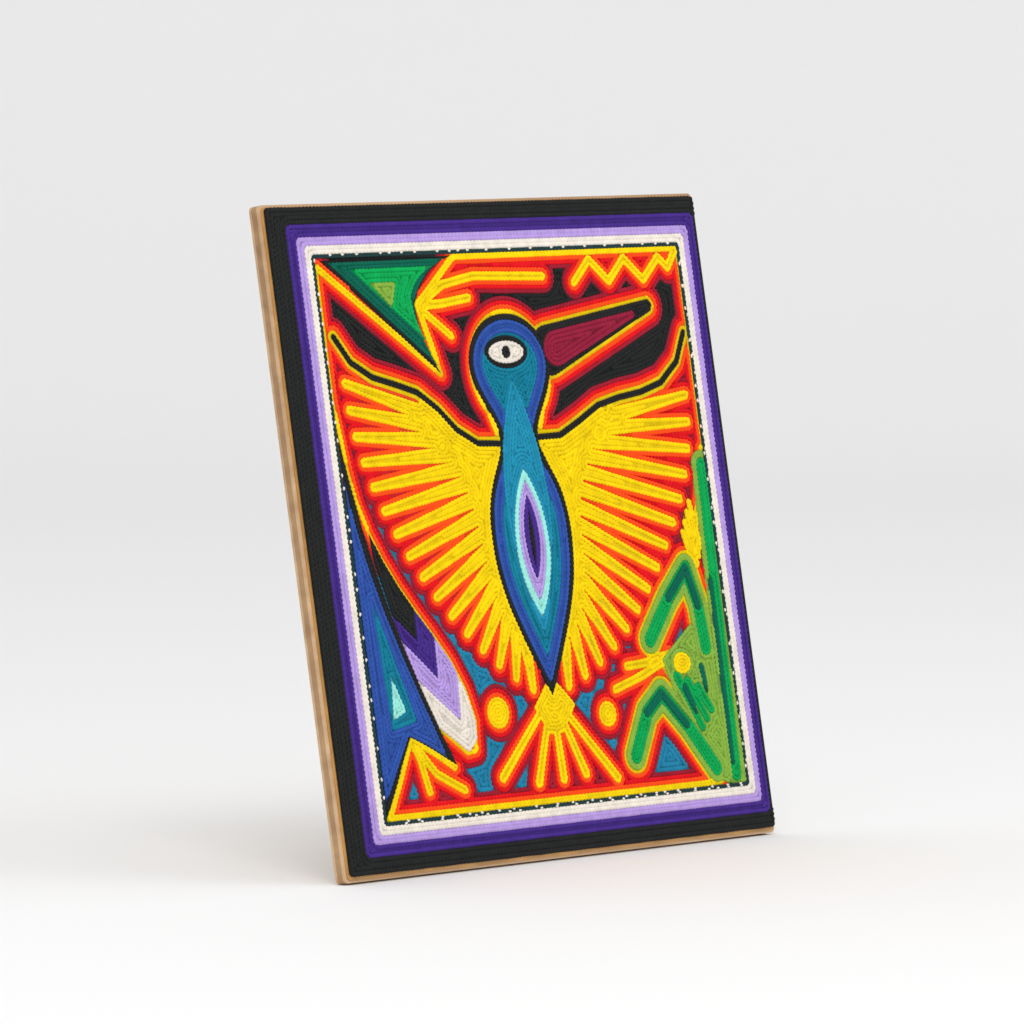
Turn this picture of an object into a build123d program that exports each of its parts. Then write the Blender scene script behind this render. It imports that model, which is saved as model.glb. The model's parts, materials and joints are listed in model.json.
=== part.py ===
from build123d import *
import math
import os

# A square yarn painting of a humming bird on a waxed plywood board. The board leans back on a
# hinged easel strut, and has a ring hanger on its back. The origin is on the floor, in the middle
# of the space it stands in. The painted face looks along -Y, and +X is to its right.

# ---------------------------------------------------------------- driving dimensions, millimetres
board_width = 152.0
board_height = 156.0
veneer_thickness = 0.7
core_thickness = 1.6
board_corner = 1.2
board_lean = 10.0  # degrees back from upright

wax_thickness = 0.4
wax_margin = 0.6
yarn_height = 0.8
bottom_margin = 1.4  # bare edge of the board below the lowest stripe
strand = 1.0  # width of one laid strand of yarn
smallest_patch = 0.6  # square millimetres that a strand can still fill

hinge_rise = 100.0  # from the bottom edge up the back to the hinge pin
hinge_offset = 2.0  # pin axis from the back of the board
hinge_width = 18.0
leaf_length = 11.0
strut_leaf_length = 15.0
leaf_thickness = 0.8
knuckle_radius = 1.6
pin_radius = 0.8
running_clearance = 0.05
middle_knuckle = 6.0
knuckle_gap = 0.1

strut_opening = 20.0  # degrees between the open strut and the board
strut_top_width = 22.0
strut_foot_width = 34.0
strut_thickness = 3.0
strut_above_pin = 11.0  # this end meets the board and stops the strut
strut_below_pin = 110.0  # cut off at the floor afterwards

screw_shank_radius = 0.9
screw_head_radius = 1.7
screw_head_height = 0.7
screw_length = 2.4
screw_spacing = 11.0
screw_from_pin = 7.5

ring_rise = 138.0
ring_offset = 1.9
ring_wire_radius = 0.7
ring_barrel_radius = 1.5
ring_width = 11.0
ring_drop = 8.0
ring_bend = 1.4
strap_width = 7.0
strap_length = 15.0
ring_screw_from_axis = 11.6

board_thickness = 2 * veneer_thickness + core_thickness
lean = math.radians(board_lean)
opening = math.radians(strut_opening)

os.makedirs("parts", exist_ok=True)


# ---------------------------------------------------------------- planes
# The board rests on its rear bottom edge, so its front bottom edge stands a little above the floor.
face_normal = (0, -math.cos(lean), math.sin(lean))
back_normal = (0, math.cos(lean), -math.sin(lean))
strut_tilt = opening - lean
pin_forward = hinge_rise * math.sin(lean) + (board_thickness + hinge_offset) * math.cos(lean)
pin_height = hinge_rise * math.cos(lean) - hinge_offset * math.sin(lean)
foot_back = (
    pin_forward
    + (hinge_offset + strut_thickness) / math.cos(strut_tilt)
    + pin_height * math.tan(strut_tilt)
)
yarn_front = bottom_margin * math.sin(lean) - (wax_thickness + yarn_height) * math.cos(lean)
footprint_middle = (foot_back + yarn_front) / 2
front_edge = (0, -footprint_middle, board_thickness * math.sin(lean))
front_plane = Plane(origin=front_edge, x_dir=(1, 0, 0), z_dir=face_normal)
wax_plane = front_plane.offset(wax_thickness)
back_face = front_plane.offset(-board_thickness)


def back_point(rise, out):
    """A point on the middle line of the back: up from the bottom edge, and out from the face."""
    return back_face.from_local_coords((0, rise, -out))


pin_centre = back_point(hinge_rise, hinge_offset)
ring_centre = back_point(ring_rise, ring_offset)

# The strut hangs from the pin. Its own plane has +Y up along the strut and +Z towards the board.
strut_towards_board = (0, -math.cos(strut_tilt), -math.sin(strut_tilt))
strut_plane = Plane(origin=pin_centre, x_dir=(1, 0, 0), z_dir=strut_towards_board)


def finish(piece, name):
    """Labels a finished piece and writes it as its own file."""
    piece.part.label = name
    export_step(piece.part, "parts/" + name + ".step")


# ---------------------------------------------------------------- the plywood board
screw_rows = [(side * screw_spacing / 2, hinge_rise - screw_from_pin) for side in (-1, 1)]
hanger_hole = (0, ring_rise - ring_screw_from_axis)
board_holes = screw_rows + [hanger_hole]


def ply(name, depth, thickness, holes_depth):
    """One layer of the board, from a depth below the front face, with screw holes from its back."""
    with BuildPart() as layer:
        with BuildSketch(front_plane.offset(-depth)):
            with Locations((0, board_height / 2)):
                RectangleRounded(board_width, board_height, board_corner)
        extrude(amount=-thickness)
        if holes_depth:
            with BuildSketch(front_plane.offset(-depth - thickness)):
                with Locations(*board_holes):
                    Circle(screw_shank_radius)
            extrude(amount=holes_depth, mode=Mode.SUBTRACT)
    finish(layer, name)


screw_in_board = screw_length - leaf_thickness
ply("front_veneer", 0, veneer_thickness, 0)
ply("ply_core", veneer_thickness, core_thickness, screw_in_board - veneer_thickness)
ply("back_veneer", veneer_thickness + core_thickness, veneer_thickness, veneer_thickness)

with BuildPart() as wax_bed:
    with BuildSketch(front_plane):
        with Locations((0, board_height / 2)):
            RectangleRounded(
                board_width - 2 * wax_margin, board_height - 2 * wax_margin, board_corner
            )
    extrude(amount=wax_thickness)
finish(wax_bed, "wax_bed")


# ---------------------------------------------------------------- drawing on the face
# Places on the face are given as (across from the left edge, down from the top edge).
def at(across, down):
    """The sketch position of a place on the face."""
    return Vector(across - board_width / 2, board_height - down)


def bar(start, end, start_radius, end_radius):
    """A bar with round ends: the outline that two discs and their common tangents make."""
    a = at(*start)
    b = at(*end)
    along = b - a
    heading = math.atan2(along.Y, along.X)
    splay = math.acos((start_radius - end_radius) / along.length)

    def rim(centre, radius, angle):
        return centre + Vector(radius, 0).rotate(Axis.Z, math.degrees(angle))

    with BuildSketch() as outline:
        with BuildLine():
            left = Line(rim(a, start_radius, heading + splay), rim(b, end_radius, heading + splay))
            right = Line(rim(b, end_radius, heading - splay), rim(a, start_radius, heading - splay))
            ThreePointArc(left @ 1, rim(b, end_radius, heading), right @ 0)
            ThreePointArc(right @ 1, rim(a, start_radius, heading + math.pi), left @ 0)
        make_face()
    add(outline.sketch)


def chain(places, radius):
    """Bars of one radius from each place to the next."""
    for start, end in zip(places, places[1:]):
        bar(start, end, radius, radius)


def disc(centre, radius):
    """A round patch."""
    with Locations(at(*centre)):
        Circle(radius)


def curve(places, samples):
    """Evenly spaced places along a smooth line through a few places."""
    line = Spline(*[Vector(*place) for place in places])
    points = [line @ (i / (samples - 1)) for i in range(samples)]
    return [(point.X, point.Y) for point in points]


def patch(*places):
    """A straight-sided patch."""
    with BuildSketch() as outline:
        with BuildLine():
            Polyline(*[at(*place) for place in places], close=True)
        make_face()
    add(outline.sketch)


def lens(centre_across, top, bottom, half_width):
    """A leaf-shaped patch with a point at its top and its bottom."""
    middle = (top + bottom) / 2
    with BuildSketch() as outline:
        with BuildLine():
            for side in (-1, 1):
                ThreePointArc(
                    at(centre_across, top),
                    at(centre_across + side * half_width, middle),
                    at(centre_across, bottom),
                )
        make_face()
    add(outline.sketch)


# ---------------------------------------------------------------- the border stripes
# Each stripe lies inside the one before: its outer margins left, top, right and bottom.
stripe_margins = [
    ("border_black", (1.2, 0.8, 0.6, bottom_margin)),
    ("border_purple", (7.0, 4.8, 1.6, 5.1)),
    ("border_lilac", (10.0, 7.8, 4.2, 7.8)),
    ("border_white", (12.4, 9.8, 6.1, 9.8)),
    ("border_dark_line", (14.4, 11.9, 8.2, 11.9)),
    ("field", (15.3, 12.8, 9.1, 12.8)),
]
stripe_corners = [1.0, 1.6, 1.4, 1.2, 1.0, 0.4]


def margin_box(margins, corner):
    """The part of the face inside the given margins."""
    left, top, right, bottom = margins
    middle = at((left + board_width - right) / 2, (top + board_height - bottom) / 2)
    with Locations(middle):
        RectangleRounded(board_width - left - right, board_height - top - bottom, corner)


# ---------------------------------------------------------------- the bird
bird_axis = 77.5
# Half widths of the black outline's outer edge, from the crown to the point of the tail.
bird_profile = [
    (27.4, 0),
    (28.1, 4.8),
    (30.6, 9.6),
    (38.0, 14.0),
    (46.5, 11.8),
    (56.5, 6.6),
    (68.0, 11.6),
    (80.0, 14.0),
    (92.0, 12.4),
    (105.0, 7.0),
    (112.0, 3.4),
    (118.0, 0),
]


bird_samples = 48
# One side of the outline, as a curve of (half width, -down).
bird_side = Spline(*[Vector(half, -down) for down, half in bird_profile])


def bird(inset):
    """The bird's outline, drawn in by an inset measured square to its edge."""
    side = []
    for i in range(bird_samples + 1):
        along = bird_side % (i / bird_samples)
        point = bird_side @ (i / bird_samples) + Vector(along.Y, -along.X) * inset
        side.append((point.X, -point.Y))
    crown = side[0][1]
    kept = [(half, down) for half, down in side[1:] if half > 0.05]
    (half, down), (last_half, last_down) = kept[-2:]
    tail = last_down + (last_down - down) * last_half / (half - last_half)
    right = [(bird_axis + half, down) for half, down in kept]
    left = [(bird_axis - half, down) for half, down in reversed(kept)]
    patch((bird_axis, crown), *right, (bird_axis, tail), *left)


beak_root = (92.0, 36.6)
beak_tip = (129.4, 27.0)
eye = (76.8, 36.5)

left_contour = curve([(18.4, 31.1), (29.5, 40.8), (46.9, 46.2), (56.0, 54.0), (70.5, 58.0)], 9)
right_contour = curve([(141.4, 33.8), (130.5, 45.8), (105.0, 51.0), (95.0, 56.0), (84.0, 57.0)], 9)

# ---------------------------------------------------------------- the flame-coloured outlines
# Yellow strands draw each line, and one strand each of orange, red and dark red follow around them.
flame_growth = {"yellow": 0.0, "orange": 1.0, "red": 2.0, "dark_red": 3.0}
feather_radius = 1.2
feather_root_radius = 1.9
line_radius = 0.9
outline_radius = 0.7

left_tips = curve([(20.2, 42.0), (22.4, 58.0), (33.0, 80.8), (51.2, 102.4), (71.0, 116.2)], 16)
left_roots = curve([(44.5, 49.5), (51.0, 58.5), (57.0, 68.5), (61.0, 88.0), (70.4, 106.0)], 16)
right_tips = curve([(139.0, 49.0), (135.0, 68.0), (124.0, 85.6), (105.0, 105.2), (83.6, 116.2)], 15)
right_roots = curve([(111.0, 53.0), (102.5, 61.0), (96.5, 71.5), (94.5, 89.0), (84.2, 106.0)], 15)


def feathers(roots, tips, growth):
    """A wing's fan of feathers."""
    for root, tip in zip(roots, tips):
        bar(root, tip, feather_root_radius + growth, feather_radius + growth)


def left_wing(growth):
    feathers(left_roots, left_tips, growth)
    if growth == 0:
        patch(*left_contour[4:], (bird_axis, 60), (bird_axis, 108), *reversed(left_roots))
        chain(left_contour, outline_radius + strand)


def right_wing(growth):
    feathers(right_roots, right_tips, growth)
    if growth == 0:
        patch(*right_contour[5:], (bird_axis, 60), (bird_axis, 108), *reversed(right_roots))
        chain(right_contour, outline_radius + strand)


tail_root = (77.0, 117.5)
tail_tips = [(56.5, 136.0), (68.8, 138.0), (77.6, 137.7), (85.6, 137.0), (96.6, 138.8)]
zigzag = [(104.0 + 3.15 * i, 18.0 + 2.7 * math.cos(i * math.pi / 2)) for i in range(12)]
sun_dots = [((57.7, 120.8), 3.8), ((95.9, 123.6), 3.1)]
feather_edge = curve([(17.4, 62.0), (21.6, 76.5), (33.0, 94.4), (44.5, 109.0), (49.6, 122.0)], 10)


def lines(growth):
    """The tail, the halos, the suns, the hands and every other line that is outlined in flame."""
    chain(left_contour, outline_radius + strand + growth)
    chain(right_contour, outline_radius + strand + growth)
    bar(beak_root, beak_tip, 7.0 + growth, 2.5 + growth)
    disc((bird_axis, 40.6), 14.4 + growth)
    bar((bird_axis, 48.0), (bird_axis, 57.0), 10.6 + growth, 7.2 + growth)
    # tail
    for tip in tail_tips:
        bar(tail_root, tip, 1.0 + growth, 1.3 + growth)
    if growth == 0:
        patch((70.5, 120.5), (bird_axis, 113.0), (85.0, 120.5), (79.5, 127.0), (74.5, 127.0))
    # suns
    for centre, radius in sun_dots:
        disc(centre, radius + growth)
    # band around the green hill, along the top and down both sides
    chain([(15.8, 15.0), (53.3, 41.0), (48.2, 24.4), (62.7, 13.4), (143.2, 13.2)], line_radius + growth)
    chain([(143.0, 13.2), (143.0, 62.0)], 0.6 + growth)
    chain([(15.6, 15.4), (15.4, 46.0), (17.4, 62.0)], 0.6 + growth)
    # fingers of the upper hand
    chain([(48.6, 24.6), (57.5, 20.0), (68.5, 18.2), (93.0, 18.9)], 1.1 + growth)
    chain([(48.8, 24.8), (57.0, 24.4), (66.0, 23.3)], 1.1 + growth)
    chain([(49.0, 25.4), (58.5, 32.2)], 1.0 + growth)
    chain(zigzag, 1.1 + growth)
    chain([zigzag[-1], (142.6, 13.2)], 1.1 + growth)
    # the striped feather's edge and the lower hand
    chain(feather_edge + [(48.6, 129.0), (45.6, 129.4), (35.5, 121.8)], 0.6 + growth)
    chain([(40.6, 132.4), (33.6, 128.2), (26.9, 124.6), (21.6, 134.0), (16.4, 142.6)], line_radius + growth)
    chain([(27.2, 125.8), (29.2, 130.0), (31.0, 137.4)], 1.1 + growth)
    chain([(28.0, 126.4), (34.0, 133.4), (43.0, 137.8)], 1.1 + growth)
    # ground line
    chain([(16.4, 142.6), (131.0, 142.6)], line_radius + growth)
    # the plant's outline, its hand and its hatching
    for leaf in leaves:
        chain(leaf, leaf_radius + line_radius + growth)
    chain([(105.0, 112.8), (112.0, 112.4), (121.0, 110.8)], 1.1 + growth)
    chain([(99.8, 118.0), (110.0, 115.4), (118.0, 112.6), (121.6, 117.6)], 1.1 + growth)
    chain([(142.2, 62.0), (138.2, 76.0), (134.0, 88.0)], 0.9 + growth)
    for i in range(4):
        chain([(131.6 + 1.2 * i, 82.0 - 2.4 * i), (134.4 + 1.0 * i, 92.0 - 2.0 * i)], 0.8)


# ---------------------------------------------------------------- the figures in the corners
leaf_radius = 3.4
leaves = [
    [(114.6, 107.0), (123.0, 97.6), (130.8, 90.6), (133.6, 100.0), (134.4, 110.0)],
    [(104.2, 134.2), (110.0, 124.4), (116.2, 120.0), (124.0, 128.0), (132.6, 139.0)],
]
stem = [(141.4, 66.0), (140.2, 141.0)]


hill_focus = (44.0, 19.5)


def hill(share):
    """The green hill hanging in the upper left corner, shrunk about its focus to a share."""

    def drawn(across, down):
        return at(
            hill_focus[0] + share * (across - hill_focus[0]),
            hill_focus[1] + share * (down - hill_focus[1]),
        )

    with BuildSketch() as outline:
        with BuildLine():
            top = Line(drawn(17.2, 13.4), drawn(62.0, 13.2))
            fall = ThreePointArc(top @ 1, drawn(53.2, 17.4), drawn(47.4, 24.2))
            flank = ThreePointArc(fall @ 1, drawn(49.0, 32.6), drawn(53.6, 41.0))
            Line(flank @ 1, top @ 0)
        make_face()
    add(outline.sketch)


def spike(inset):
    """The blue spike standing in the lower left corner, drawn in by an inset."""
    edge = curve(
        [
            (15.5 + 0.4 * inset, 52.0 + 11.0 * inset),
            (20.4 - 0.8 * inset, 78.0 + 5.0 * inset),
            (27.2 - 1.0 * inset, 100.0 + 2.0 * inset),
            (41.6 - 3.0 * inset, 132.0 - 2.0 * inset),
        ],
        12,
    )
    hem = [(34.0 - 2.0 * inset, 127.8 - 1.4 * inset), (26.9 - 0.6 * inset, 124.4 - 0.4 * inset)]
    patch(*edge, *hem, (15.5 + 0.4 * inset, 142.6 - 3.6 * inset))


def striped_feather():
    """The slanting feather beside the spike."""
    patch(
        *feather_edge[2:],
        (49.4, 126.4),
        (46.2, 129.2),
        (35.5, 121.8),
        (27.2, 100.0),
        (22.2, 83.0),
    )


def feather_above(left, point, right):
    """The striped feather down to a V whose point hangs between its two sides."""
    with BuildSketch(Plane.XY, mode=Mode.PRIVATE) as cut:
        patch((10, 50), left, point, right, (60, 50))
    with BuildSketch(Plane.XY, mode=Mode.PRIVATE) as banded:
        striped_feather()
        add(cut.sketch, mode=Mode.INTERSECT)
    add(banded.sketch)


# ---------------------------------------------------------------- what each colour of yarn draws
def eye_white():
    with Locations(at(*eye)):
        Ellipse(6.2, 2.7)


def eye_black():
    with Locations(at(*eye)):
        Circle(1.5)
    lens(bird_axis, 73.5, 88.0, 0.8)


def eye_rim():
    with Locations(at(*eye)):
        Ellipse(7.4, 3.9)


def plant_leaves(radius):
    for leaf in leaves:
        chain(leaf, radius)


def plant_olive():
    plant_leaves(leaf_radius)
    chain(stem, 3.4)
    patch((118.0, 112.0), (130.0, 104.0), (137.0, 112.0), (137.0, 143.2), (131.0, 141.0), (124.0, 128.0))


def plant_green():
    plant_leaves(leaf_radius - 1.5)
    chain([stem[0], (139.6, 141.0)], 1.7)
    for i in range(3):
        bar((122.6 + 3.6 * i, 116.4 + 1.6 * i), (129.6 + 2.0 * i, 129.0 - 2.0 * i), 1.4, 1.0)


def plant_dark():
    for leaf in leaves:
        chain(leaf[1:-1], 1.0)
    chain([(139.4, 94.0), (138.8, 138.0)], 0.8)
    bar((131.8, 114.6), (132.8, 120.4), 1.0, 0.6)
    bar((125.0, 119.2), (128.0, 125.2), 1.0, 0.6)


def plant_sun():
    """The yellow seed between the leaves."""
    with Locations(at(125.0, 113.2)):
        Ellipse(3.2, 2.6)


def beak_black():
    bar(beak_root, beak_tip, 6.0, 1.5)


def night():
    """The black ground above the wings."""
    patch(
        (12.0, 10.0),
        (146.0, 10.0),
        (146.0, 32.0),
        *right_contour,
        *reversed(left_contour),
        (12.0, 27.0),
    )


def whole_field():
    margin_box(*field_box)


field_box = (stripe_margins[-1][1], stripe_corners[-1])
wing_lines = [left_contour, right_contour]


def wing_contours():
    for line in wing_lines:
        chain(line, outline_radius)


def wing_level(wing, colour):
    return lambda: wing(flame_growth[colour])


# Painted from the top down: a region keeps only what the regions before it leave free.
yarn_regions = [
    ("eye_black", eye_black),
    ("eye_white", eye_white),
    ("eye_rim", eye_rim),
    ("heart_purple", lambda: lens(bird_axis, 70.2, 90.6, 2.5)),
    ("heart_lilac", lambda: lens(bird_axis, 66.8, 95.6, 4.3)),
    ("heart_mint", lambda: lens(bird_axis, 64.0, 99.4, 5.8)),
    ("body_turquoise", lambda: lens(bird_axis, 42.5, 103.6, 7.6)),
    ("body_teal", lambda: bird(4.4)),
    ("body_blue", lambda: bird(outline_radius * 2)),
    ("beak_maroon", lambda: bar((94.6, 36.2), (123.6, 28.9), 4.3, 0.9)),
    ("bird_outline", lambda: (bird(0), beak_black())),
    ("wing_contours", wing_contours),
    ("hill_olive", lambda: patch((33.0, 18.9), (41.8, 18.9), (39.6, 25.0))),
    ("hill_green", lambda: hill(0.64)),
    ("hill_dark_green", lambda: hill(0.91)),
    ("hill_outline", lambda: hill(1.0)),
    ("spike_mint", lambda: patch((22.9, 110.0), (26.6, 118.4), (22.0, 120.2))),
    ("spike_teal", lambda: patch((19.8, 92.0), (29.8, 121.0), (21.0, 122.6))),
    ("spike_blue", lambda: spike(1.0)),
    ("spike_outline", lambda: spike(0)),
    ("plant_seed", plant_sun),
    ("plant_dark_green", plant_dark),
    ("plant_green", plant_green),
    ("plant_olive", plant_olive),
    ("feather_black", lambda: feather_above((26.0, 96.0), (33.4, 102.6), (33.6, 88.0))),
    ("feather_purple", lambda: feather_above((28.0, 102.0), (38.8, 111.6), (39.4, 94.0))),
    ("feather_lilac", lambda: feather_above((30.6, 110.4), (44.6, 121.8), (46.2, 100.0))),
    ("feather_white", striped_feather),
    ("left_wing_yellow", wing_level(left_wing, "yellow")),
    ("right_wing_yellow", wing_level(right_wing, "yellow")),
    ("lines_yellow", wing_level(lines, "yellow")),
    ("left_wing_orange", wing_level(left_wing, "orange")),
    ("right_wing_orange", wing_level(right_wing, "orange")),
    ("lines_orange", wing_level(lines, "orange")),
    ("left_wing_red", wing_level(left_wing, "red")),
    ("right_wing_red", wing_level(right_wing, "red")),
    ("lines_red", wing_level(lines, "red")),
    ("left_wing_dark_red", wing_level(left_wing, "dark_red")),
    ("right_wing_dark_red", wing_level(right_wing, "dark_red")),
    ("lines_dark_red", wing_level(lines, "dark_red")),
    ("night_field", night),
    ("day_field", whole_field),
]


def lay_yarn(name, outline):
    """Makes a flat bed of yarn from the patches of an outline that a strand can fill."""
    patches = [face for face in outline.faces() if face.area > smallest_patch]
    with BuildPart() as yarn:
        with BuildSketch(wax_plane):
            add(patches)
        extrude(amount=yarn_height)
    finish(yarn, name)


for (name, margins), corner, (_, inner_margins), inner_corner in zip(
    stripe_margins, stripe_corners, stripe_margins[1:], stripe_corners[1:]
):
    with BuildSketch() as stripe:
        margin_box(margins, corner)
        with BuildSketch(mode=Mode.SUBTRACT):
            margin_box(inner_margins, inner_corner)
    lay_yarn(name, stripe)

with BuildSketch() as free:
    whole_field()

for name, draw in yarn_regions:
    with BuildSketch() as region:
        draw()
        add(free.sketch, mode=Mode.INTERSECT)
    with BuildSketch() as left_over:
        add(free.sketch)
        add(region.sketch, mode=Mode.SUBTRACT)
    free = left_over
    lay_yarn(name, region)


# ---------------------------------------------------------------- the easel hinge
def knuckle_sections():
    """The outer two stretches of the hinge's barrel, as (middle, length) along X."""
    outer = (hinge_width - middle_knuckle) / 2 - knuckle_gap
    middle = (middle_knuckle + outer) / 2 + knuckle_gap
    return [(-middle, outer), (middle, outer)]


def tube(centre, sections, radius, mode=Mode.ADD):
    """Round stretches along X, each given as (middle, length), added or cut away."""
    across = Plane(centre, x_dir=(0, 1, 0), z_dir=(1, 0, 0))
    for middle, length in sections:
        with Locations(across.offset(middle)):
            Cylinder(radius, length, mode=mode)


bore_radius = pin_radius + running_clearance
with BuildPart() as board_leaf:
    tube(pin_centre, knuckle_sections(), knuckle_radius)
    with BuildSketch(back_face):
        with Locations((0, hinge_rise - leaf_length / 2)):
            Rectangle(hinge_width, leaf_length)
    extrude(amount=-leaf_thickness)
    with BuildSketch(back_face):
        with Locations((0, hinge_rise)):
            Rectangle(middle_knuckle + 2 * knuckle_gap, 2 * (knuckle_radius + 0.2))
        with Locations(*screw_rows):
            Circle(screw_shank_radius)
    extrude(amount=-(hinge_offset + knuckle_radius), mode=Mode.SUBTRACT)
    tube(pin_centre, [(0, 2 * hinge_width)], bore_radius, Mode.SUBTRACT)
finish(board_leaf, "hinge_board_leaf")

# The strut's leaf lies on the side of the strut that faces the board.
strut_inner = strut_plane.offset(-hinge_offset)
strut_screws = [(x, -screw_from_pin - screw_spacing / 2) for x in (-screw_spacing / 2, screw_spacing / 2)]
with BuildPart() as strut_leaf:
    tube(pin_centre, [(0, middle_knuckle)], knuckle_radius)
    with BuildSketch(strut_inner):
        with Locations((0, -(knuckle_radius + 0.3) - strut_leaf_length / 2)):
            Rectangle(hinge_width, strut_leaf_length)
        with Locations((0, -(knuckle_radius + 0.3) / 2)):
            Rectangle(middle_knuckle, knuckle_radius + 0.3)
    extrude(amount=leaf_thickness)
    with BuildSketch(strut_inner):
        with Locations(*strut_screws):
            Circle(screw_shank_radius)
    extrude(amount=leaf_thickness, mode=Mode.SUBTRACT)
    tube(pin_centre, [(0, 2 * hinge_width)], bore_radius, Mode.SUBTRACT)
finish(strut_leaf, "hinge_strut_leaf")

with BuildPart() as hinge_pin:
    with BuildSketch(Plane(pin_centre, x_dir=(0, 1, 0), z_dir=(1, 0, 0)).offset(-hinge_width / 2 - 0.6)):
        Circle(pin_radius)
    extrude(amount=hinge_width + 1.2)
    chamfer(hinge_pin.edges().filter_by(GeomType.CIRCLE), length=0.2)
finish(hinge_pin, "hinge_pin")

# ---------------------------------------------------------------- the strut
with BuildPart() as strut:
    with BuildSketch(strut_inner):
        with BuildLine():
            Polyline(
                (-strut_top_width / 2, strut_above_pin),
                (strut_top_width / 2, strut_above_pin),
                (strut_foot_width / 2, -strut_below_pin),
                (-strut_foot_width / 2, -strut_below_pin),
                close=True,
            )
        make_face()
    extrude(amount=-strut_thickness)
    with BuildSketch(strut_inner):
        with Locations(*strut_screws):
            Circle(screw_shank_radius)
    extrude(amount=leaf_thickness - screw_length, mode=Mode.SUBTRACT)
    split(bisect_by=Plane.XY, keep=Keep.TOP)
finish(strut, "easel_strut")


# ---------------------------------------------------------------- screws
def screw_group(plane, places, into, name):
    """Slotted screws standing at places of a plane, with their shanks along its -Z."""
    with BuildPart() as screws:
        for x, y in places:
            spot = Plane(plane.from_local_coords((x, y, 0)), x_dir=plane.x_dir, z_dir=plane.z_dir)
            with Locations(spot):
                Cylinder(screw_shank_radius, into, align=(Align.CENTER, Align.CENTER, Align.MAX))
                Cone(
                    screw_head_radius,
                    screw_head_radius - 0.5,
                    screw_head_height,
                    align=(Align.CENTER, Align.CENTER, Align.MIN),
                )
            with Locations(spot.offset(screw_head_height)):
                Box(2 * screw_head_radius, 0.5, 0.6, mode=Mode.SUBTRACT)
    finish(screws, name)


leaf_back = Plane(back_point(0, leaf_thickness), x_dir=(-1, 0, 0), z_dir=back_normal)
screw_group(leaf_back, [(-x, y) for x, y in screw_rows], screw_length, "board_screws")
screw_group(leaf_back, [hanger_hole], screw_length, "hanger_screw")
screw_group(strut_inner.offset(leaf_thickness), strut_screws, screw_length, "strut_screws")

# ---------------------------------------------------------------- the ring hanger
ring_bore = ring_wire_radius + running_clearance
with BuildPart() as ring_strap:
    tube(ring_centre, [(0, strap_width)], ring_barrel_radius)
    with BuildSketch(back_face):
        with Locations((0, ring_rise - strap_length / 2)):
            Rectangle(strap_width, strap_length)
    extrude(amount=-leaf_thickness)
    with BuildSketch(back_face):
        with Locations(hanger_hole):
            Circle(screw_shank_radius)
    extrude(amount=-leaf_thickness, mode=Mode.SUBTRACT)
    tube(ring_centre, [(0, 2 * strap_width)], ring_bore, Mode.SUBTRACT)
finish(ring_strap, "hanger_strap")

ring_plane = Plane(ring_centre, x_dir=(1, 0, 0), z_dir=(0, -1, 0))
with BuildLine(ring_plane) as ring_path:
    FilletPolyline(
        (ring_width / 2, 0),
        (ring_width / 3, -ring_drop),
        (-ring_width / 3, -ring_drop),
        (-ring_width / 2, 0),
        radius=ring_bend,
        close=True,
    )
ring_wire = ring_path.wires()[0]
with BuildPart() as hang_ring:
    with BuildSketch(Plane(origin=ring_wire @ 0, z_dir=ring_wire % 0)):
        Circle(ring_wire_radius)
    sweep(path=ring_wire)
finish(hang_ring, "hanger_ring")
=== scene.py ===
import json
import math

import bpy
import numpy as np
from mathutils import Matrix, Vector, kdtree


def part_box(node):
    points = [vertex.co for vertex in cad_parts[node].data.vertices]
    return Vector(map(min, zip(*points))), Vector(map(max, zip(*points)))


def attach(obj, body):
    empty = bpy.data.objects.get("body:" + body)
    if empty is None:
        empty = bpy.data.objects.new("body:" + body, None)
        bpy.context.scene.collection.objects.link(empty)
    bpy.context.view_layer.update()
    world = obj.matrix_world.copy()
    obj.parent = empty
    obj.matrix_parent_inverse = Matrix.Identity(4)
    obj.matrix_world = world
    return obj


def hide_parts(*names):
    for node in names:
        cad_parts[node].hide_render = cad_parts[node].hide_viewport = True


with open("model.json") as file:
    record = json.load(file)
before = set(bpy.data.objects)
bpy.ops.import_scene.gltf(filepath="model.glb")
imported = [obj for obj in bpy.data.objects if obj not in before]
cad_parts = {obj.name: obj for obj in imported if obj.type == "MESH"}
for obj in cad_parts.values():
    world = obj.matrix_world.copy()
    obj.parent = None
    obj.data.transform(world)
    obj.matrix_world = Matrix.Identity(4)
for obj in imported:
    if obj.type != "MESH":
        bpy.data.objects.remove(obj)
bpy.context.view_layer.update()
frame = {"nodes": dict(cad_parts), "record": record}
nodes = frame["nodes"]
slot_of = {entry["node"]: entry["material_slot"] for entry in frame["record"]["subparts"]}
base_colour = {m["slot"]: tuple(m["base_color"][:3]) for m in frame["record"]["materials"]}
rng = np.random.default_rng(7)

# ---------------------------------------------------------------- sizes, in metres
PITCH = 0.0010  # from one strand of yarn to the next
GRID = 0.0002  # raster that the strands' lines are found on
STEP = 0.0003  # from one ring of a strand to the next
SIDES = 8
PLY_TWIST = 0.0024  # length of one full turn of the two plies
PLY_DEPTH = 0.24  # how deep the groove between the plies is, as a share of the radius
SPREAD = 0.56  # half width of a pressed strand, as a share of the pitch
BED_SHARE = 0.6  # height of the matted yarn under the strands, as a share of the whole
LOOSEST = 1.15  # widest pitch that a region is filled with, as a share of the usual one
SWELL = 0.05  # how much a strand's thickness comes and goes along it, as a share
SWELL_LENGTH = 0.011  # from one thick place of a strand to the next
END_PINCH = 0.45  # how thick a strand's cut end is, as a share
SMOOTHINGS = 3  # rounds of evening out a strand's line
GLINT_GAP = 0.0055  # between the painted glints on the thin dark line: white yarn flecks standing in for sparkle
GLINT_LENGTH = 0.0012
GLINT_HALF_WIDTH = 0.0003
GLINT_DEPTH = 0.0003  # below the yarn's top
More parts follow.
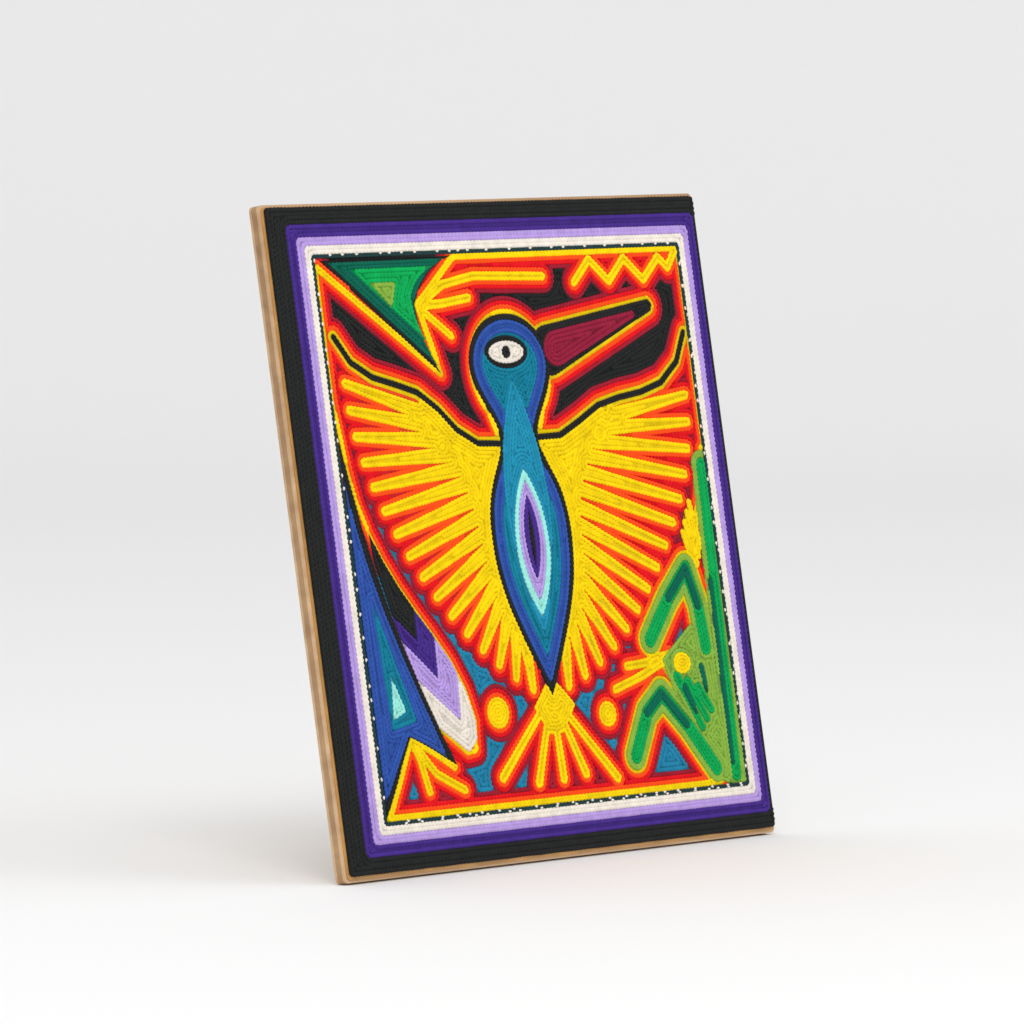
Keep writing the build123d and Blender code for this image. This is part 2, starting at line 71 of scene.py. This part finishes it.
GLINT_RISE = 0.0002  # above the yarn's top
LEVEL_TOLERANCE = 1e-5  # within this of the top, a corner belongs to the upper side
PER_MICRON = 1e6  # corners less than a micron apart are the same
THINNEST = 1e-12  # area of a triangle, in cells, that covers nothing

# ---------------------------------------------------------------- stage, in board widths
SHEET_REACH = 16
SHEET_BEND = 3
SHEET_BACK = 9
BEND_STEPS = 12
PAPER_GREY = 0.86
ROOM_LIGHT = 0.87
KEY_POWER = 6.6  # watts
FILL_POWER = 3.4  # watts
CAMERA_PLACE = Vector((-9.208, -8.1115, 1.32))  # from the middle of the board's lower edge
CAMERA_LOOK = Vector((0.7443, 0.6648, -0.0640))
CAMERA_LENS = 281.25  # millimetres
SENSOR_WIDTH = 36  # millimetres


# ---------------------------------------------------------------- the face's own axes
def face_axes():
    """Origin and axes of the yarn face: across, up and out, from the front veneer's mesh."""
    veneer = nodes["front_veneer"].data
    widest = max(veneer.polygons, key=lambda p: p.area if p.normal.y < -0.5 else 0)
    out = widest.normal.normalized()
    across = Vector((1, 0, 0))
    up = out.cross(across)
    corner = veneer.vertices[widest.vertices[0]].co
    heights = [(v.co - corner).dot(up) for v in veneer.vertices]
    origin = corner + up * min(heights)
    origin -= across * origin.x
    return origin, across, up, out


ORIGIN, ACROSS, UP, OUT = face_axes()
AXES = np.array([ACROSS, UP, OUT])


def to_face(points):
    """Points of the object as (across, up, out) on the face."""
    return (points - np.array(ORIGIN)) @ AXES.T


def from_face(points):
    """Places on the face back as points of the object."""
    return points @ AXES + np.array(ORIGIN)


# ---------------------------------------------------------------- reading a yarn bed's outline
def top_triangles(node):
    """The triangles of a node's upper side, on the face, and its lowest and highest level."""
    mesh = nodes[node].data
    mesh.calc_loop_triangles()
    points = np.empty(len(mesh.vertices) * 3, np.float32)
    mesh.vertices.foreach_get("co", points)
    points = to_face(points.reshape(-1, 3).astype(float))
    corners = np.empty(len(mesh.loop_triangles) * 3, np.int32)
    mesh.loop_triangles.foreach_get("vertices", corners)
    triangles = points[corners.reshape(-1, 3)]
    low, high = points[:, 2].min(), points[:, 2].max()
    is_top = (triangles[:, :, 2] > high - LEVEL_TOLERANCE).all(axis=1)
    return triangles[is_top][:, :, :2], low, high


def outline_edges(triangles):
    """The edges that only one triangle has, as an array of (start, end)."""
    keys = np.round(triangles * PER_MICRON).astype(np.int64)
    count = {}
    for t, corner_keys in enumerate(keys):
        for i in range(3):
            a, b = tuple(corner_keys[i]), tuple(corner_keys[(i + 1) % 3])
            pair = (min(a, b), max(a, b))
            if pair in count:
                count[pair] = None
            else:
                count[pair] = (triangles[t, i], triangles[t, (i + 1) % 3])
    return np.array([edge for edge in count.values() if edge is not None])


def sampled(edges, gap):
    """Points along edges, no further apart than a gap."""
    points = []
    for a, b in edges:
        n = max(1, int(math.ceil(np.linalg.norm(b - a) / gap)))
        share = np.arange(n)[:, None] / n
        points.append(a + (b - a) * share)
    return np.concatenate(points)


def tree_of(points):
    """A search tree over points on the face."""
    tree = kdtree.KDTree(len(points))
    for i, (x, y) in enumerate(points):
        tree.insert((x, y, 0), i)
    tree.balance()
    return tree


def covered_cells(triangles):
    """A raster of the grid points that the triangles cover, with its lowest corner."""
    low = np.floor(triangles.min((0, 1)) / GRID).astype(int) - 2
    high = np.ceil(triangles.max((0, 1)) / GRID).astype(int) + 3
    cells = np.zeros(high - low, bool)
    for a, b, c in triangles / GRID - low:
        x0, y0 = np.floor(np.minimum(np.minimum(a, b), c)).astype(int)
        x1, y1 = np.ceil(np.maximum(np.maximum(a, b), c)).astype(int) + 1
        x, y = np.mgrid[x0:x1, y0:y1]
        turn = (b[0] - a[0]) * (c[1] - a[1]) - (b[1] - a[1]) * (c[0] - a[0])
        if abs(turn) < THINNEST:
            continue
        s = np.sign(turn)
        inside = np.ones(x.shape, bool)
        for p, q in ((a, b), (b, c), (c, a)):
            inside &= s * ((q[0] - p[0]) * (y - p[1]) - (q[1] - p[1]) * (x - p[0])) >= -1e-9
        cells[x0:x1, y0:y1] |= inside
    return cells, low


# ---------------------------------------------------------------- level lines
def level_lines(field, level):
    """Lines of a level through a grid with gaps (nan), as lists of grid positions."""
    links = {}
    ok = np.isfinite(field)
    above = np.where(ok, field > level, False)
    whole = ok[:-1, :-1] & ok[1:, :-1] & ok[:-1, 1:] & ok[1:, 1:]
    total = above[:-1, :-1].astype(int) + above[1:, :-1] + above[:-1, 1:] + above[1:, 1:]
    for i, j in np.argwhere(whole & (total > 0) & (total < 4)):
        ring = ((i, j), (i + 1, j), (i + 1, j + 1), (i, j + 1))
        crossed = []
        for a, b in zip(ring, ring[1:] + ring[:1]):
            if above[a] != above[b]:
                crossed.append((min(a, b), max(a, b)))
        for a, b in zip(crossed[::2], crossed[1::2]):
            links.setdefault(a, []).append(b)
            links.setdefault(b, []).append(a)

    def place(edge):
        a, b = edge
        share = (level - field[a]) / (field[b] - field[a])
        return (a[0] + (b[0] - a[0]) * share, a[1] + (b[1] - a[1]) * share)

    lines = []
    used = set()
    starts = [e for e, near in links.items() if len(near) == 1] + list(links)
    for start in starts:
        if start in used:
            continue
        line = [start]
        used.add(start)
        here = start
        while True:
            ahead = [e for e in links[here] if e not in used]
            if not ahead:
                break
            here = ahead[0]
            used.add(here)
            line.append(here)
        closed = len(line) > 3 and start in links[here]
        lines.append((np.array([place(e) for e in line]), closed))
    return lines


def evened(line, closed):
    """A line smoothed and divided into even steps, or None if it is too short for a strand."""
    points = np.vstack([line, line[:1]]) if closed else line
    for _ in range(SMOOTHINGS):
        middle = (points[:-2] + 2 * points[1:-1] + points[2:]) / 4
        if closed:
            seam = (points[-2] + 2 * points[0] + points[1]) / 4
            points = np.vstack([seam, middle, seam])
        else:
            points = np.vstack([points[:1], middle, points[-1:]])
    lengths = np.concatenate([[0], np.cumsum(np.linalg.norm(np.diff(points, axis=0), axis=1))])
    if lengths[-1] < 4 * STEP:
        return None
    n = max(4, int(lengths[-1] / STEP))
    at = np.linspace(0, lengths[-1], n + 1)
    even = np.stack([np.interp(at, lengths, points[:, k]) for k in range(2)], axis=1)
    return even[:-1] if closed else even


# ---------------------------------------------------------------- strands
class Strands:
    """Gathers strands of yarn into one mesh."""

    def __init__(self):
        self.points = []
        self.faces = []
        self.shades = []
        self.count = 0

    def lay(self, line, closed, half_width, bottom, top):
        """One twisted strand along a line on the face."""
        n = len(line)
        if closed:
            tangent = np.roll(line, -1, axis=0) - np.roll(line, 1, axis=0)
        else:
            tangent = np.gradient(line, axis=0)
        tangent /= np.maximum(np.linalg.norm(tangent, axis=1), 1e-12)[:, None]
        side = np.stack([tangent[:, 1], -tangent[:, 0]], axis=1)
        run = np.arange(n) * STEP
        turns = max(1, round(n * STEP / PLY_TWIST)) if closed else n * STEP / PLY_TWIST
        phase = 2 * math.pi * turns * np.arange(n) / n + rng.uniform(0, 6.28)
        wave = rng.uniform(0, 6.28)
        waves = max(1, round(n * STEP / SWELL_LENGTH))
        swell = 1 + SWELL * np.sin(2 * math.pi * waves * run / (n * STEP) + wave)
        around = 2 * math.pi * np.arange(SIDES) / SIDES
        lobes = 1 + PLY_DEPTH * np.cos(2 * (around[None, :] - phase[:, None]))
        half_height = (top - bottom) / 2
        across = half_width * swell[:, None] * lobes * np.cos(around)[None, :]
        height = half_height * swell[:, None] * lobes * np.sin(around)[None, :]
        if not closed:
            close_in = np.ones(n)
            close_in[[0, -1]] = END_PINCH
            across *= close_in[:, None]
            height *= close_in[:, None]
        flat = line[:, None, :] + side[:, None, :] * across[:, :, None]
        out = (top + bottom) / 2 + height
        ring = np.concatenate([flat, out[:, :, None]], axis=2).reshape(-1, 3)
        here = np.arange(n if closed else n - 1)
        ahead = (here + 1) % n
        turn = (np.arange(SIDES) + 1) % SIDES
        a = here[:, None] * SIDES + np.arange(SIDES)
        b = here[:, None] * SIDES + turn
        c = ahead[:, None] * SIDES + turn
        d = ahead[:, None] * SIDES + np.arange(SIDES)
        quads = np.stack([a, d, c, b], axis=2).reshape(-1, 4) + self.count
        self.faces.extend(quads.tolist())
        if not closed:
            self.faces.append((self.count + np.arange(SIDES)).tolist())
            self.faces.append((self.count + (n - 1) * SIDES + np.arange(SIDES))[::-1].tolist())
        self.points.append(ring)
        self.shades.append(np.full(len(ring), rng.uniform(-0.3, 1)))
        self.count += len(ring)

    def bed(self, triangles, edges, low, high):
        """The matted yarn under the strands: a closed slab with the region's own outline, coloured
        darkest as painted shade between the strands.
        """
        keys = {}
        flat = []

        def index(point):
            key = tuple(np.round(point * PER_MICRON).astype(np.int64))
            if key not in keys:
                keys[key] = len(flat)
                flat.append(point)
            return keys[key]

        caps = [[index(corner) for corner in triangle] for triangle in triangles]
        rims = [(index(a), index(b)) for a, b in edges]
        n = len(flat)
        flat = np.array(flat)
        for level in (low, high):
            self.points.append(np.column_stack([flat, np.full(n, level)]))
        # the bed takes the ramp's darkest tone: painted shade where it shows between the strands
        self.shades.append(np.full(2 * n, -1.0))
        base = self.count
        self.faces.extend([[base + n + i for i in cap] for cap in caps])
        self.faces.extend([[base + i for i in reversed(cap)] for cap in caps])
        self.faces.extend([[base + a, base + b, base + n + b, base + n + a] for a, b in rims])
        self.count += 2 * n

    def piece(self, name):
        """The gathered strands as an object."""
        mesh = bpy.data.meshes.new(name)
        points = from_face(np.concatenate(self.points))
        mesh.from_pydata(points.tolist(), [], self.faces)
        shade = mesh.attributes.new("shade", "FLOAT", "POINT")
        shade.data.foreach_set("value", np.concatenate(self.shades).astype(np.float32))
        mesh.polygons.foreach_set("use_smooth", [True] * len(mesh.polygons))
        mesh.update()
        made = bpy.data.objects.new(name, mesh)
        bpy.context.scene.collection.objects.link(made)
        return made


# ---------------------------------------------------------------- materials
def new_material(name):
    """An empty node material: its nodes, its links and its Principled shader."""
    material = bpy.data.materials.new(name)
    material.use_nodes = True
    tree = material.node_tree
    return material, tree, tree.nodes["Principled BSDF"]


def noise(tree, scale, detail=2.0, stretch=None, turn=None):
    """A noise pattern in the object's own space, optionally stretched and turned."""
    place = tree.nodes.new("ShaderNodeTexCoord")
    texture = tree.nodes.new("ShaderNodeTexNoise")
    texture.inputs["Scale"].default_value = scale
    texture.inputs["Detail"].default_value = detail
    source = place.outputs["Object"]
    if stretch is not None:
        mapping = tree.nodes.new("ShaderNodeMapping")
        mapping.inputs["Scale"].default_value = stretch
        if turn is not None:
            mapping.inputs["Rotation"].default_value = turn
        tree.links.new(source, mapping.inputs["Vector"])
        source = mapping.outputs["Vector"]
    tree.links.new(source, texture.inputs["Vector"])
    return texture.outputs["Fac"]


def ramp(tree, source, stops):
    """A colour ramp: stops are (place, colour)."""
    node = tree.nodes.new("ShaderNodeValToRGB")
    elements = node.color_ramp.elements
    while len(elements) < len(stops):
        elements.new(0.5)
    for element, (place, colour) in zip(elements, stops):
        element.position = place
        element.color = (*colour, 1)
    tree.links.new(source, node.inputs["Fac"])
    return node.outputs["Color"]


def bump(tree, shader, source, distance, strength):
    """Relief from a pattern."""
    node = tree.nodes.new("ShaderNodeBump")
    node.inputs["Distance"].default_value = distance
    node.inputs["Strength"].default_value = strength
    tree.links.new(source, node.inputs["Height"])
    tree.links.new(node.outputs["Normal"], shader.inputs["Normal"])


def mixed(tree, a, b, share_socket=None, share=0.5, kind="MIX"):
    """Two colours mixed."""
    node = tree.nodes.new("ShaderNodeMix")
    node.data_type = "RGBA"
    node.blend_type = kind
    node.inputs[0].default_value = share
    if share_socket is not None:
        tree.links.new(share_socket, node.inputs[0])
    tree.links.new(a, node.inputs[6])
    tree.links.new(b, node.inputs[7])
    return node.outputs[2]


def tone(colour, amount):
    """A colour made lighter (above 1) or darker (below 1)."""
    return tuple(min(1.0, c * amount + 0.006 * max(0.0, amount - 1)) for c in colour)


def yarn_material(slot):
    """Spun acrylic yarn: strand-to-strand tone, painted shade on the bed between strands, mottling
    and fine fibres.
    """
    colour = base_colour[slot]
    material, tree, shader = new_material("yarn_" + slot)
    mottle = ramp(
        tree,
        noise(tree, 420, 3),
        [(0.3, tone(colour, 0.78)), (0.5, colour), (0.7, tone(colour, 1.2))],
    )
    shade = tree.nodes.new("ShaderNodeAttribute")
    shade.attribute_name = "shade"
    spread = tree.nodes.new("ShaderNodeMapRange")
    spread.inputs["From Min"].default_value = -1
    tree.links.new(shade.outputs["Fac"], spread.inputs["Value"])
    # dark end (0.66) is reached only by the bed: painted shade between strands; the rest is random
    # strand-to-strand tone
    strand = ramp(
        tree,
        spread.outputs["Result"],
        [(0.0, tone(colour, 0.66)), (0.35, tone(colour, 0.94)), (1.0, tone(colour, 1.15))],
    )
    tree.links.new(mixed(tree, mottle, strand), shader.inputs["Base Color"])
    fibres = noise(tree, 2600, 2, stretch=(1, 1, 0.35), turn=(0, 0.6, 0))
    bump(tree, shader, fibres, 0.00012, 0.55)
    shader.inputs["Roughness"].default_value = 0.78
    shader.inputs["Specular IOR Level"].default_value = 0.08
    shader.inputs["Sheen Weight"].default_value = 0.03
    shader.inputs["Sheen Roughness"].default_value = 0.5
    return material


def wood_material(slot, dark, light):
    """Raw plywood: grain along the board, relief from the grain and warm stains."""
    material, tree, shader = new_material("wood_" + slot)
    grain = noise(tree, 240, 4, stretch=(0.12, 1, 1))
    stain = noise(tree, 30, 3)
    base = ramp(tree, grain, [(0.3, dark), (0.7, light)])
    worn = ramp(tree, stain, [(0.35, tone(dark, 0.8)), (0.65, tone(light, 1.05))])
    tree.links.new(mixed(tree, base, worn, share=0.35), shader.inputs["Base Color"])
    rough = tree.nodes.new("ShaderNodeMapRange")
    rough.inputs["To Min"].default_value = 0.5
    rough.inputs["To Max"].default_value = 0.75
    tree.links.new(grain, rough.inputs["Value"])
    tree.links.new(rough.outputs["Result"], shader.inputs["Roughness"])
    bump(tree, shader, grain, 0.00015, 0.5)
    return material


def wax_material():
    """Honey-coloured beeswax, pressed by hand."""
    colour = base_colour["wax"]
    material, tree, shader = new_material("beeswax")
    cloudy = ramp(tree, noise(tree, 150, 3), [(0.3, tone(colour, 0.75)), (0.7, tone(colour, 1.25))])
    tree.links.new(cloudy, shader.inputs["Base Color"])
    shader.inputs["Roughness"].default_value = 0.42
    shader.inputs["Subsurface Weight"].default_value = 0.15
    shader.inputs["Subsurface Scale"].default_value = 0.001
    bump(tree, shader, noise(tree, 500, 3), 0.0002, 0.6)
    return material


def metal_material(slot):
    """Plated metal with fine scratches and a little tarnish."""
    colour = base_colour[slot]
    material, tree, shader = new_material("metal_" + slot)
    tarnish = ramp(tree, noise(tree, 260, 4), [(0.3, tone(colour, 0.7)), (0.6, colour)])
    tree.links.new(tarnish, shader.inputs["Base Color"])
    shader.inputs["Metallic"].default_value = 1.0
    scratches = noise(tree, 1500, 2, stretch=(0.08, 1, 1))
    rough = tree.nodes.new("ShaderNodeMapRange")
    rough.inputs["To Min"].default_value = 0.22
    rough.inputs["To Max"].default_value = 0.48
    tree.links.new(scratches, rough.inputs["Value"])
    tree.links.new(rough.outputs["Result"], shader.inputs["Roughness"])
    bump(tree, shader, scratches, 0.00003, 0.4)
    return material


# ---------------------------------------------------------------- the yarn
metals = ("hinge_brass", "steel", "screw_steel")
woods = ("veneer", "core_wood", "strut_wood")
yarn_nodes = [n for n in sorted(nodes) if slot_of[n] not in metals + woods + ("wax",)]
yarn_materials = {slot: yarn_material(slot) for slot in sorted({slot_of[n] for n in yarn_nodes})}
outlines = {}
for node in yarn_nodes:
    triangles, low, high = top_triangles(node)
    outlines[node] = (triangles, outline_edges(triangles), low, high)

# Orange, red and dark red each lie one strand further out from the yellow.
yellow_edges = np.concatenate([outlines[n][1] for n in yarn_nodes if n.endswith("_yellow")])
yellow_tree = tree_of(sampled(yellow_edges, GRID / 2))
rings_out = {"orange": 0, "red": 1, "dark_red": 2}


def distance_field(triangles, tree):
    """Each covered cell's distance from a tree's points, with the cells and their lowest corner."""
    cells, corner = covered_cells(triangles)
    field = np.full(cells.shape, np.nan)
    for i, j in np.argwhere(cells):
        x, y = (i + corner[0]) * GRID, (j + corner[1]) * GRID
        field[i, j] = tree.find((x, y, 0))[2]
    return field, cells, corner


def ride_on_board(piece, slot):
    """Gives a piece of yarn its colour and fastens it to the board."""
    piece.data.materials.append(yarn_materials[slot])
    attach(piece, "board")


def lay_node(node):
    """Covers one region with strands that follow its outline, in the place of its CAD node."""
    triangles, edges, low, high = outlines[node]
    slot = slot_of[node]
    tree = yellow_tree if slot in rings_out else tree_of(sampled(edges, GRID / 2))
    field, cells, corner = distance_field(triangles, tree)
    if slot in rings_out:
        levels = [PITCH * (rings_out[slot] + 0.5)]
        half_width = PITCH * SPREAD
    else:
        deepest = np.nanmax(field)
        rows = max(1, round(deepest / PITCH))
        pitch = min(deepest / rows, LOOSEST * PITCH)
        levels = [(k + 0.5) * pitch for k in range(int(deepest / pitch + 0.5))]
        half_width = pitch * SPREAD
        outside = ~cells
        near = np.zeros_like(cells)
        near[1:-1, 1:-1] = (
            outside[:-2, 1:-1] | outside[2:, 1:-1] | outside[1:-1, :-2] | outside[1:-1, 2:]
        )
        field[cells & near] = np.minimum(field[cells & near], GRID)
    strands = Strands()
    strands.bed(triangles, edges, low, low + (high - low) * BED_SHARE)
    for level in levels:
        for line, closed in level_lines(field, level):
            even = evened((line + corner) * GRID, closed)
            if even is not None:
                strands.lay(even, closed, half_width, low, high)
    piece = strands.piece("yarn_" + node)
    ride_on_board(piece, slot)
    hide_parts(node)


for node in yarn_nodes:
    lay_node(node)


def lay_painted_glints():
    """Short white yarn flecks along the thin dark line inside the border: painted glints, standing
    in for the sparkle of its thread.
    """
    triangles, edges, low, high = outlines["border_dark_line"]
    field, _, corner = distance_field(triangles, tree_of(sampled(edges, GRID / 2)))
    painted_glints = Strands()
    for line, closed in level_lines(field, 0.2 * PITCH):
        even = evened((line + corner) * GRID, closed)
        if even is None:
            continue
        length = int(GLINT_LENGTH / STEP)
        place = 0
        while place + 2 * length < len(even):
            place += int(rng.uniform(0.5, 1.5) * GLINT_GAP / STEP)
            part = even[place : place + length]
            if len(part) == length:
                painted_glints.lay(part, False, GLINT_HALF_WIDTH, high - GLINT_DEPTH, high + GLINT_RISE)
    # white yarn flecks: painted glints along the dark line
    ride_on_board(painted_glints.piece("yarn_painted_glints"), "white")


lay_painted_glints()

# ---------------------------------------------------------------- carried-over CAD nodes
carried = {"wax": wax_material()}
for slot, dark, light in (
    ("veneer", (0.42, 0.24, 0.11), (0.66, 0.46, 0.27)),
    ("core_wood", (0.26, 0.14, 0.06), (0.46, 0.28, 0.14)),
    ("strut_wood", (0.40, 0.24, 0.12), (0.60, 0.42, 0.24)),
):
    carried[slot] = wood_material(slot, dark, light)
for slot in metals:
    carried[slot] = metal_material(slot)
for node in sorted(nodes):
    if node not in yarn_nodes:
        mesh = nodes[node].data
        mesh.materials.clear()
        mesh.materials.append(carried[slot_of[node]])

# ---------------------------------------------------------------- floor, light and camera
low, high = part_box("front_veneer")
width = high.x - low.x


def stage_sheet():
    """A pale floor that turns up into a backdrop behind the panel."""
    reach = SHEET_REACH * width
    bend = SHEET_BEND * width
    back = SHEET_BACK * width
    profile = [(-reach, 0.0), (back, 0.0)]
    for i in range(1, BEND_STEPS + 1):
        angle = math.pi / 2 * i / BEND_STEPS
        profile.append((back + bend * math.sin(angle), bend * (1 - math.cos(angle))))
    profile.append((back + bend, reach))
    away = Vector((CAMERA_LOOK.x, CAMERA_LOOK.y, 0)).normalized()
    aside = Vector((away.y, -away.x, 0))
    points = [away * d + aside * s + Vector((0, 0, h)) for d, h in profile for s in (-reach, reach)]
    faces = [(2 * i, 2 * i + 1, 2 * i + 3, 2 * i + 2) for i in range(len(profile) - 1)]
    mesh = bpy.data.meshes.new("stage_sheet")
    mesh.from_pydata([tuple(p) for p in points], [], faces)
    mesh.polygons.foreach_set("use_smooth", [True] * len(faces))
    sheet = bpy.data.objects.new("stage_sheet", mesh)
    bpy.context.scene.collection.objects.link(sheet)
    material, tree, shader = new_material("paper_sweep")
    shader.inputs["Base Color"].default_value = (PAPER_GREY, PAPER_GREY, PAPER_GREY, 1)
    shader.inputs["Roughness"].default_value = 0.9
    mesh.materials.append(material)


def area_light(name, place, size, power):
    """A soft light that looks at the panel."""
    data = bpy.data.lights.new(name, "AREA")
    data.size = size
    data.energy = power
    light = bpy.data.objects.new(name, data)
    light.location = place
    target = Vector((0, 0, 0.5 * width))
    light.rotation_euler = (target - Vector(place)).to_track_quat("-Z", "Y").to_euler()
    bpy.context.scene.collection.objects.link(light)


stage_sheet()
area_light("key", (-5 * width, -5 * width, 8 * width), 4 * width, KEY_POWER)
area_light("fill", (4 * width, -8 * width, 5 * width), 6 * width, FILL_POWER)
world = bpy.data.worlds.new("soft_room")
world.use_nodes = True
background = world.node_tree.nodes["Background"]
background.inputs["Color"].default_value = (1, 1, 1, 1)
background.inputs["Strength"].default_value = ROOM_LIGHT
bpy.context.scene.world = world
bpy.context.scene.view_settings.view_transform = "Standard"

camera_data = bpy.data.cameras.new("camera")
camera_data.lens = CAMERA_LENS
camera_data.sensor_width = SENSOR_WIDTH
camera_data.clip_end = 100
camera = bpy.data.objects.new("camera", camera_data)
camera.location = ORIGIN + CAMERA_PLACE * width
camera.rotation_euler = CAMERA_LOOK.to_track_quat("-Z", "Y").to_euler()
bpy.context.scene.collection.objects.link(camera)
bpy.context.scene.camera = camera

bpy.context.view_layer.update()
